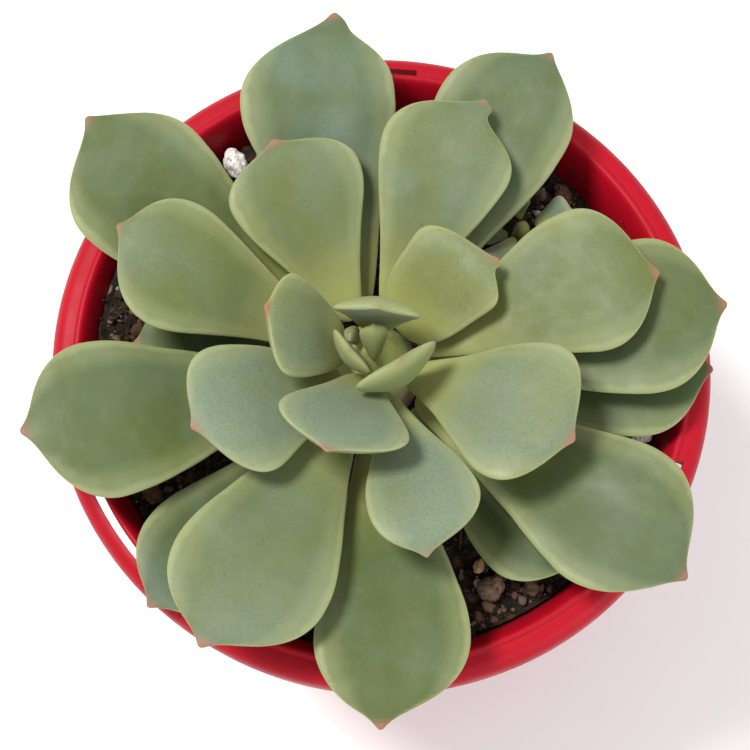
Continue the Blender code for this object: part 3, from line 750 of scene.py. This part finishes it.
def add_pot(plastic):
    profile = rounded(pot_profile(RIM_TOP))
    profile.reverse()
    mesh = turned_mesh("pot_shell", profile, POT_STEPS)
    shell = new_object("pot_draft", mesh)
    cutters = []
    for index in range(SLOT_COUNT):
        middle = SLOT_ANGLE + 360.0 / SLOT_COUNT * index
        first, last = middle - SLOT_SPAN / 2, middle + SLOT_SPAN / 2
        outline = arc_points(SLOT_RADIUS + SLOT_WIDTH, first, last, SLOT_STEPS)
        outline += arc_points(SLOT_RADIUS, last, first, SLOT_STEPS)
        cutters.append(prism(f"slot_{index}", outline, RIM_TOP - SLOT_DEPTH, RIM_TOP + CUT_ABOVE))
    circle = arc_points(DRAIN_RADIUS, 0.0, 360.0 - 360.0 / DRAIN_STEPS, DRAIN_STEPS - 1)
    for index in range(DRAIN_COUNT):
        turn = math.tau * (index + 0.5) / DRAIN_COUNT
        centre = (DRAIN_CIRCLE * math.cos(turn), DRAIN_CIRCLE * math.sin(turn))
        outline = [(centre[0] + x, centre[1] + y) for x, y in circle]
        cutters.append(prism(f"drain_{index}", outline, DRAIN_BOTTOM, DRAIN_TOP))
    for cutter in cutters:
        boolean = shell.modifiers.new(cutter.name, "BOOLEAN")
        boolean.operation = "DIFFERENCE"
        boolean.solver = "EXACT"
        boolean.object = cutter
    made = evaluated_mesh(shell, "pot_shell")
    for item in [shell, *cutters]:
        bpy.data.objects.remove(item)
    placed("pot_shell", made, plastic, "pot")
    made.set_sharp_from_angle(angle=math.radians(POT_SHARP_ANGLE))


# ---------------------------------------------------------------- mix and grit

SOIL_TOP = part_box("soil")[1].z
SOIL_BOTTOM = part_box("soil")[0].z
SOIL_RADIUS = 0.0515
SOIL_RINGS = 110
SOIL_STEPS = 260
SOIL_SIDE = (  # radius and height, from below the top down to the floor of the pot
    (0.0510, SOIL_TOP - 0.006),
    (0.0400, SOIL_BOTTOM + 0.003),
    (0.0375, SOIL_BOTTOM),
)
SOIL_SETTLED = 0.0008  # how far the middle lies below the CAD top
SOIL_SAG = 0.0008  # how much lower the rim of the mix lies than its middle
Relief = namedtuple("Relief", "size height")
SWELL = Relief(0.017, 0.0006)
CLODS = Relief(0.0042, 0.0009)
CRACKS = Relief(0.0025, 0.0006)
CRACK_SHIFT = Vector((9.0, 2.0, 4.0))
Heap = namedtuple("Heap", "turn span rise")  # where the mix is heaped against the wall, in degrees
HEAPS = (Heap(165.0, 26.0, 0.0052), Heap(300.0, 20.0, 0.0034))
HEAP_START = 0.72  # a share of the radius
HEAP_RUN = 0.28
WALL_SLOPE = 0.20  # how fast the pot's wall opens out above the mix

# Crumbs: fineness is the subdivision of each lump, least and most are its size
Crumbs = namedtuple("Crumbs", "fineness number least most")
FINE_CRUMBS = (Crumbs(1, 2300, 0.0003, 0.0012),)
COARSE_CRUMBS = (Crumbs(2, 620, 0.0010, 0.0026), Crumbs(3, 70, 0.0026, 0.0046))
CRUMB_FACES = 7
CRUMB_GRAIN = 0.06
CRUMB_SMALLNESS = 1.8  # the larger, the more of them are near the least size
CRUMB_LIFT = 0.22  # how far a crumb's middle lies above the mix, as a share of its size
CRUMB_SHARP_ANGLE = 38.0
PALE_GRAINS = 0.035  # the share of crumbs
BROWN_ABOVE = 0.62
STEM_CLEARANCE = 0.001
BARE_TURNS = (165.0, 210.0, 300.0, 45.0)  # degrees, where the mix shows between the leaves
BARE_SPREAD = 8.0
BARE_SHARE = 0.55
WALL_CRUMBS = 90
WALL_CRUMB_TURN = 45.0
WALL_CRUMB_SPREAD = 14.0
WALL_CRUMB_REACH = 0.0045

# Fibres
FIBRE_COUNT = 150
FIBRE_SIDES = 5
FIBRE_STEPS = 9
FIBRE_LENGTHS = (0.0025, 0.0085)
FIBRE_RADII = (0.00008, 0.00028)
FIBRE_BEND = 1.6  # radians, either way
FIBRE_INSET = 0.004
FIBRE_EDGE = 0.0006  # the least room left to the edge of the mix
FIBRE_LIFT = 0.0005
FIBRE_ARCH = 0.0006
FIBRE_TAPER = 0.8
FEWEST_RINGS = 3

# Grit and stems
WELD = 0.000002
GRIT_LEVELS = 3
GRIT_RELIEF = Relief(0.30, 0.055)  # shares of the stone's size
PERLITE_PITS = Relief(0.14, 0.05)
TAN_PEBBLE = "pebble_1"
STEM_LEVELS = 2
STEM_RELIEF = Relief(0.0025, 0.00012)
STEM_SEED = 31
STEM_GREEN_DEPTH = 0.014  # cork below this depth under the tip, fading to green over the next length
STEM_GREEN_FADE = 0.006


def soil_height(x, y):
    """The lumpy top of the mix: low swells, clods and a rise at the wall."""
    far = math.hypot(x, y) / SOIL_RADIUS
    place = Vector((x, y, 0.0))
    swell = noise.noise(place / SWELL.size) * SWELL.height
    clods = noise.fractal(place / CLODS.size, 0.8, 2.0, 4) * CLODS.height
    cracks = abs(noise.noise(place / CRACKS.size + CRACK_SHIFT)) * CRACKS.height
    rise = 0.0
    for heap in HEAPS:
        aside = (math.degrees(math.atan2(y, x)) - heap.turn + 180.0) % 360.0 - 180.0
        outward = max(0.0, (far - HEAP_START) / HEAP_RUN) ** 1.5
        rise += heap.rise * math.exp(-((aside / heap.span) ** 2)) * outward
    return SOIL_TOP - SOIL_SETTLED - SOIL_SAG * far**2 + swell + clods - cracks + rise


def add_soil(mix):
    """A closed body: a fine lumpy top, and sides that follow the pot."""
    rings, steps = SOIL_RINGS, SOIL_STEPS
    vertices = [(0.0, 0.0, soil_height(0.0, 0.0))]
    for row in range(1, rings + 1):
        radius = SOIL_RADIUS * row / rings
        for step in range(steps):
            turn = math.tau * step / steps
            x, y = radius * math.cos(turn), radius * math.sin(turn)
            height = soil_height(x, y)
            spread = 1.0 + WALL_SLOPE * max(height - SOIL_TOP, 0.0) / SOIL_RADIUS * (row / rings) ** 4
            vertices.append((x * spread, y * spread, height))
    for radius, height in SOIL_SIDE:
        for step in range(steps):
            turn = math.tau * step / steps
            vertices.append((radius * math.cos(turn), radius * math.sin(turn), height))
    vertices.append((0.0, 0.0, SOIL_BOTTOM))
    last = len(vertices) - 1
    faces = []
    for step in range(steps):
        after = (step + 1) % steps
        faces.append((0, 1 + step, 1 + after))
        for row in range(rings + len(SOIL_SIDE) - 1):
            near, far = 1 + row * steps, 1 + (row + 1) * steps
            faces.append((near + step, far + step, far + after, near + after))
        bottom = 1 + (rings + len(SOIL_SIDE) - 1) * steps
        faces.append((bottom + step, last, bottom + after))
    mesh = bpy.data.meshes.new("mix_body")
    mesh.from_pydata(vertices, [], faces)
    points = points_of(mesh)
    patches = noise_at(points, 0.0022, 5)
    set_attribute(mesh, "warm", np.clip(patches * 1.6 - 0.35, 0.0, 0.8))
    set_attribute(mesh, "light", np.clip(noise_at(points, 0.0011, 6, 1) * 3.0 - 1.75, 0.0, 0.5))
    placed("mix_body", mesh, mix, "soil")


def lump_shape(subdivisions):
    built = bmesh.new()
    bmesh.ops.create_icosphere(built, subdivisions=subdivisions, radius=1.0)
    points = np.array([vertex.co for vertex in built.verts])
    faces = np.array([[vertex.index for vertex in face.verts] for face in built.faces])
    built.free()
    return points, faces


def crumb(shape, chance, size, place, flat):
    """One angular crumb as points, its faces split off at random and turned any way."""
    points = shape.copy()
    for _ in range(CRUMB_FACES):
        split = np.array([chance.gauss(0, 1) for _ in range(3)])
        split /= np.linalg.norm(split)
        beyond = np.clip(points @ split - chance.uniform(0.45, 0.85), 0.0, None)
        points -= np.outer(beyond, split)
    points *= np.array([1.0 + chance.uniform(-CRUMB_GRAIN, CRUMB_GRAIN) for _ in shape])[:, None]
    points *= np.array([chance.uniform(0.8, 1.3), chance.uniform(0.6, 1.0), flat]) * size / 2
    turn = Matrix.Rotation(chance.uniform(0, math.tau), 3, "Z")
    tilt = Matrix.Rotation(chance.gauss(0, 0.5), 3, "X")
    return points @ np.array(turn @ tilt).T + np.array(place)


class CrumbPile:
    """Many crumbs joined in one mesh, each with its own tone."""

    def __init__(self):
        self.points, self.faces, self.warm, self.light = [], [], [], []
        self.count = 0

    def add(self, lump, points, warm, light):
        self.points.append(points)
        self.faces.append(lump[1] + self.count)
        self.warm += [warm] * len(points)
        self.light += [light] * len(points)
        self.count += len(points)

    def finish(self, name, material):
        mesh = bpy.data.meshes.new(name)
        mesh.from_pydata(np.concatenate(self.points).tolist(), [], np.concatenate(self.faces).tolist())
        set_attribute(mesh, "warm", np.array(self.warm))
        set_attribute(mesh, "light", np.array(self.light))
        mesh.shade_smooth()
        mesh.set_sharp_from_angle(angle=math.radians(CRUMB_SHARP_ANGLE))
        item = new_object(name, mesh, material)
        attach(item, "root")


def crumb_tone(chance):
    """(warm, light): mostly dark peat, some brown bark, a few pale grains."""
    tone = chance.random()
    if tone < PALE_GRAINS:
        return 0.3, chance.uniform(0.3, 1.0)
    if tone > BROWN_ABOVE:
        return chance.uniform(0.25, 1.0), chance.uniform(0.0, 0.12)
    return chance.uniform(0.0, 0.2), 0.0


def add_crumbs(mix):
    """Loose crumbs of peat, bark and a little pale grit, lying on the mix and stuck to the wall."""
    chance = random.Random(11)
    low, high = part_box("stem")
    stem = ((low.x + high.x) / 2, (low.y + high.y) / 2)
    fine, coarse = CrumbPile(), CrumbPile()
    piles = [(fine, kind) for kind in FINE_CRUMBS] + [(coarse, kind) for kind in COARSE_CRUMBS]
    for pile, kind in piles:
        lump = lump_shape(kind.fineness)
        for _ in range(kind.number):
            size = kind.least + (kind.most - kind.least) * chance.random() ** CRUMB_SMALLNESS
            radius = (SOIL_RADIUS - 0.5 * size) * math.sqrt(chance.uniform(0.03, 1.0))
            turn = chance.uniform(0, math.tau)
            if chance.random() < BARE_SHARE:
                turn = math.radians(chance.choice(BARE_TURNS) + chance.gauss(0.0, BARE_SPREAD))
                radius = (SOIL_RADIUS - 0.5 * size) * chance.uniform(0.80, 1.0)
            x, y = radius * math.cos(turn), radius * math.sin(turn)
            warm, light = crumb_tone(chance)
            if math.hypot(x - stem[0], y - stem[1]) < STEM_RADIUS + 0.5 * size + STEM_CLEARANCE:
                continue
            place = (x, y, soil_height(x, y) + CRUMB_LIFT * size)
            pile.add(lump, crumb(lump[0], chance, size, place, chance.uniform(0.45, 0.9)), warm, light)
    lump = lump_shape(1)
    for _ in range(WALL_CRUMBS):
        anywhere = chance.random() < 0.5
        turn = chance.uniform(0.0, 360.0) if anywhere else chance.gauss(WALL_CRUMB_TURN, WALL_CRUMB_SPREAD)
        turn = math.radians(turn)
        height = SOIL_TOP + chance.uniform(0.0, WALL_CRUMB_REACH)
        radius = SOIL_RADIUS + WALL_SLOPE * max(height - SOIL_TOP, 0.0)
        place = (radius * math.cos(turn), radius * math.sin(turn), height)
        points = crumb(lump[0], chance, chance.uniform(0.0003, 0.0011), place, 0.6)
        fine.add(lump, points, 0.1, 0.0)
    fine.finish("mix_crumbs_fine", mix)
    coarse.finish("mix_crumbs_coarse", mix)


def add_fibres(bark):
    """Thin bark and root fibres lying across the mix."""
    chance = random.Random(23)
    vertices, faces = [], []
    sides, steps = FIBRE_SIDES, FIBRE_STEPS
    for _ in range(FIBRE_COUNT):
        radius = (SOIL_RADIUS - FIBRE_INSET) * math.sqrt(chance.uniform(0.1, 1.0))
        turn = chance.uniform(0, math.tau)
        heading = chance.uniform(0, math.tau)
        x, y = radius * math.cos(turn), radius * math.sin(turn)
        length = chance.uniform(*FIBRE_LENGTHS)
        thick = chance.uniform(*FIBRE_RADII)
        bend = chance.uniform(-FIBRE_BEND, FIBRE_BEND)
        first = len(vertices)
        kept = 0
        for step in range(steps + 1):
            share = step / steps
            angle = heading + bend * share
            if step:
                x += math.cos(angle) * length / steps
                y += math.sin(angle) * length / steps
            if math.hypot(x, y) > SOIL_RADIUS - FIBRE_EDGE:
                break
            z = soil_height(x, y) + FIBRE_LIFT + FIBRE_ARCH * math.sin(share * math.pi)
            width = thick * (1.0 - FIBRE_TAPER * abs(2 * share - 1) ** 3)
            for side in range(sides):
                around = math.tau * side / sides
                aside, rise = width * math.cos(around), width * math.sin(around)
                vertices.append((x - math.sin(angle) * aside, y + math.cos(angle) * aside, z + rise))
            kept += 1
        if kept < FEWEST_RINGS:
            del vertices[first:]
            continue
        for row in range(kept - 1):
            for side in range(sides):
                after = (side + 1) % sides
                near, far = first + row * sides, first + (row + 1) * sides
                faces.append((near + side, near + after, far + after, far + side))
        faces.append(tuple(first + side for side in reversed(range(sides))))
        faces.append(tuple(first + (kept - 1) * sides + side for side in range(sides)))
    mesh = bpy.data.meshes.new("mix_fibres")
    mesh.from_pydata(vertices, [], faces)
    mesh.shade_smooth()
    item = new_object("mix_fibres", mesh, bark)
    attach(item, "root")


def node_mesh(node, name, levels):
    """A CAD node's mesh, welded and smoothed further."""
    built = bmesh.new()
    built.from_mesh(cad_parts[node].data)
    bmesh.ops.remove_doubles(built, verts=built.verts, dist=WELD)
    mesh = bpy.data.meshes.new(name)
    built.to_mesh(mesh)
    built.free()
    return subdivided(mesh, levels)


def add_grit(materials):
    """Every stone, chip and lump of perlite, roughened. materials: (material, slot) by kind; the slot is not
    used.
    """
    for number, node in enumerate(sorted(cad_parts)):
        kind = "tan" if node == TAN_PEBBLE else node.rsplit("_", 1)[0]
        if kind not in materials:
            continue
        mesh = node_mesh(node, f"rough_{node}", GRIT_LEVELS)
        points = points_of(mesh)
        normals = normals_of(mesh)
        size = float((points.max(axis=0) - points.min(axis=0)).max())
        rough = GRIT_RELIEF.height * size * noise_at(points, GRIT_RELIEF.size * size, number, 4)
        if kind == "perlite":
            pits = np.clip(noise_at(points, PERLITE_PITS.size * size, number + 9, 1), 0.0, 1.0)
            rough -= PERLITE_PITS.height * size * pits
        points += normals * rough[:, None]
        set_points(mesh, points)
        material, slot = materials[kind]
        placed(f"rough_{node}", mesh, material, node)


def add_stems(skin):
    for node in ("stem", "offset_stem"):
        mesh = node_mesh(node, f"skin_{node}", STEM_LEVELS)
        points = points_of(mesh)
        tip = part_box(node)[1].z
        share = (points[:, 2] - (tip - STEM_GREEN_DEPTH)) / STEM_GREEN_FADE
        set_attribute(mesh, "height", np.clip(share, 0.0, 1.0))
        relief = STEM_RELIEF.height * noise_at(points, STEM_RELIEF.size, STEM_SEED, 3)
        points += normals_of(mesh) * relief[:, None]
        set_points(mesh, points)
        placed(f"skin_{node}", mesh, skin, node)


# ---------------------------------------------------------------- stage


def add_camera():
    back = Vector((
        math.sin(CAMERA_TURN) * math.sin(CAMERA_TILT),
        -math.cos(CAMERA_TURN) * math.sin(CAMERA_TILT),
        math.cos(CAMERA_TILT),
    ))
    up = Vector((0.0, 1.0, 0.0))
    up = (up - back * up.dot(back)).normalized()
    right = up.cross(back)
    target = Vector((0.0, 0.0, RIM_TOP - RIM_EDGE_BELOW_TOP)) + right * AIM_RIGHT + up * AIM_UP
    camera = bpy.data.objects.new("camera", bpy.data.cameras.new("camera"))
    bpy.context.scene.collection.objects.link(camera)
    camera.data.lens = CAMERA_LENS
    camera.data.sensor_width = CAMERA_SENSOR
    camera.data.clip_start = CAMERA_CLIP
    turn = Matrix((right, up, back)).transposed().to_4x4()
    camera.matrix_world = Matrix.Translation(target + back * CAMERA_DISTANCE) @ turn
    bpy.context.scene.camera = camera


def add_light(lamp, aim):
    light = bpy.data.objects.new(lamp.name, bpy.data.lights.new(lamp.name, "AREA"))
    bpy.context.scene.collection.objects.link(light)
    light.data.shape = "DISK"
    light.data.size = lamp.size
    light.data.energy = lamp.power
    light.data.color = lamp.colour
    light.location = lamp.place
    light.rotation_mode = "QUATERNION"
    light.rotation_quaternion = (Vector(aim) - Vector(lamp.place)).to_track_quat("-Z", "Y")


def add_stage(paint):
    """A wide pale floor in even white light, with the lamps aimed at the crown of the plant."""
    mesh = bpy.data.meshes.new("floor")
    side = FLOOR_REACH
    corners = [(-side, -side, 0), (side, -side, 0), (side, side, 0), (-side, side, 0)]
    mesh.from_pydata(corners, [], [(0, 1, 2, 3)])
    floor = new_object("floor", mesh, paint)
    world = bpy.data.worlds.new("studio")
    bpy.context.scene.world = world
    world.use_nodes = True
    backdrop = world.node_tree.nodes["Background"]
    backdrop.inputs["Color"].default_value = (1.0, 1.0, 1.0, 1.0)
    backdrop.inputs["Strength"].default_value = WORLD_STRENGTH
    for lamp in LAMPS:
        add_light(lamp, (0.0, 0.0, RIM_TOP))
    bpy.context.scene.view_settings.view_transform = "Standard"


def main():
    skin = make_leaf_skin()
    plastic = make_plastic()
    mix = make_mix()
    bark = make_bark()
    perlite = make_stone("perlite", (0.62, 0.60, 0.55), (0.88, 0.86, 0.82), 0.0012, 0.9, 0.0003)
    tan = make_stone("tan_stone", (0.30, 0.17, 0.09), (0.55, 0.36, 0.20), 0.0009, 0.7, 0.00015)
    grey = make_stone("grey_stone", (0.085, 0.054, 0.032), (0.20, 0.130, 0.080), 0.0009, 0.7, 0.00015)
    add_leaves(skin)
    add_offset(skin)
    add_pot(plastic)
    add_soil(mix)
    add_crumbs(mix)
    add_fibres(bark)
    add_stems(make_stem_skin())
    add_grit({
        "perlite": (perlite, "perlite"),
        "pebble": (grey, "grey_stone"),
        "tan": (tan, "tan_stone"),
        "bark_chip": (bark, "bark"),
    })
    add_camera()
    add_stage(make_floor_paint())


main()
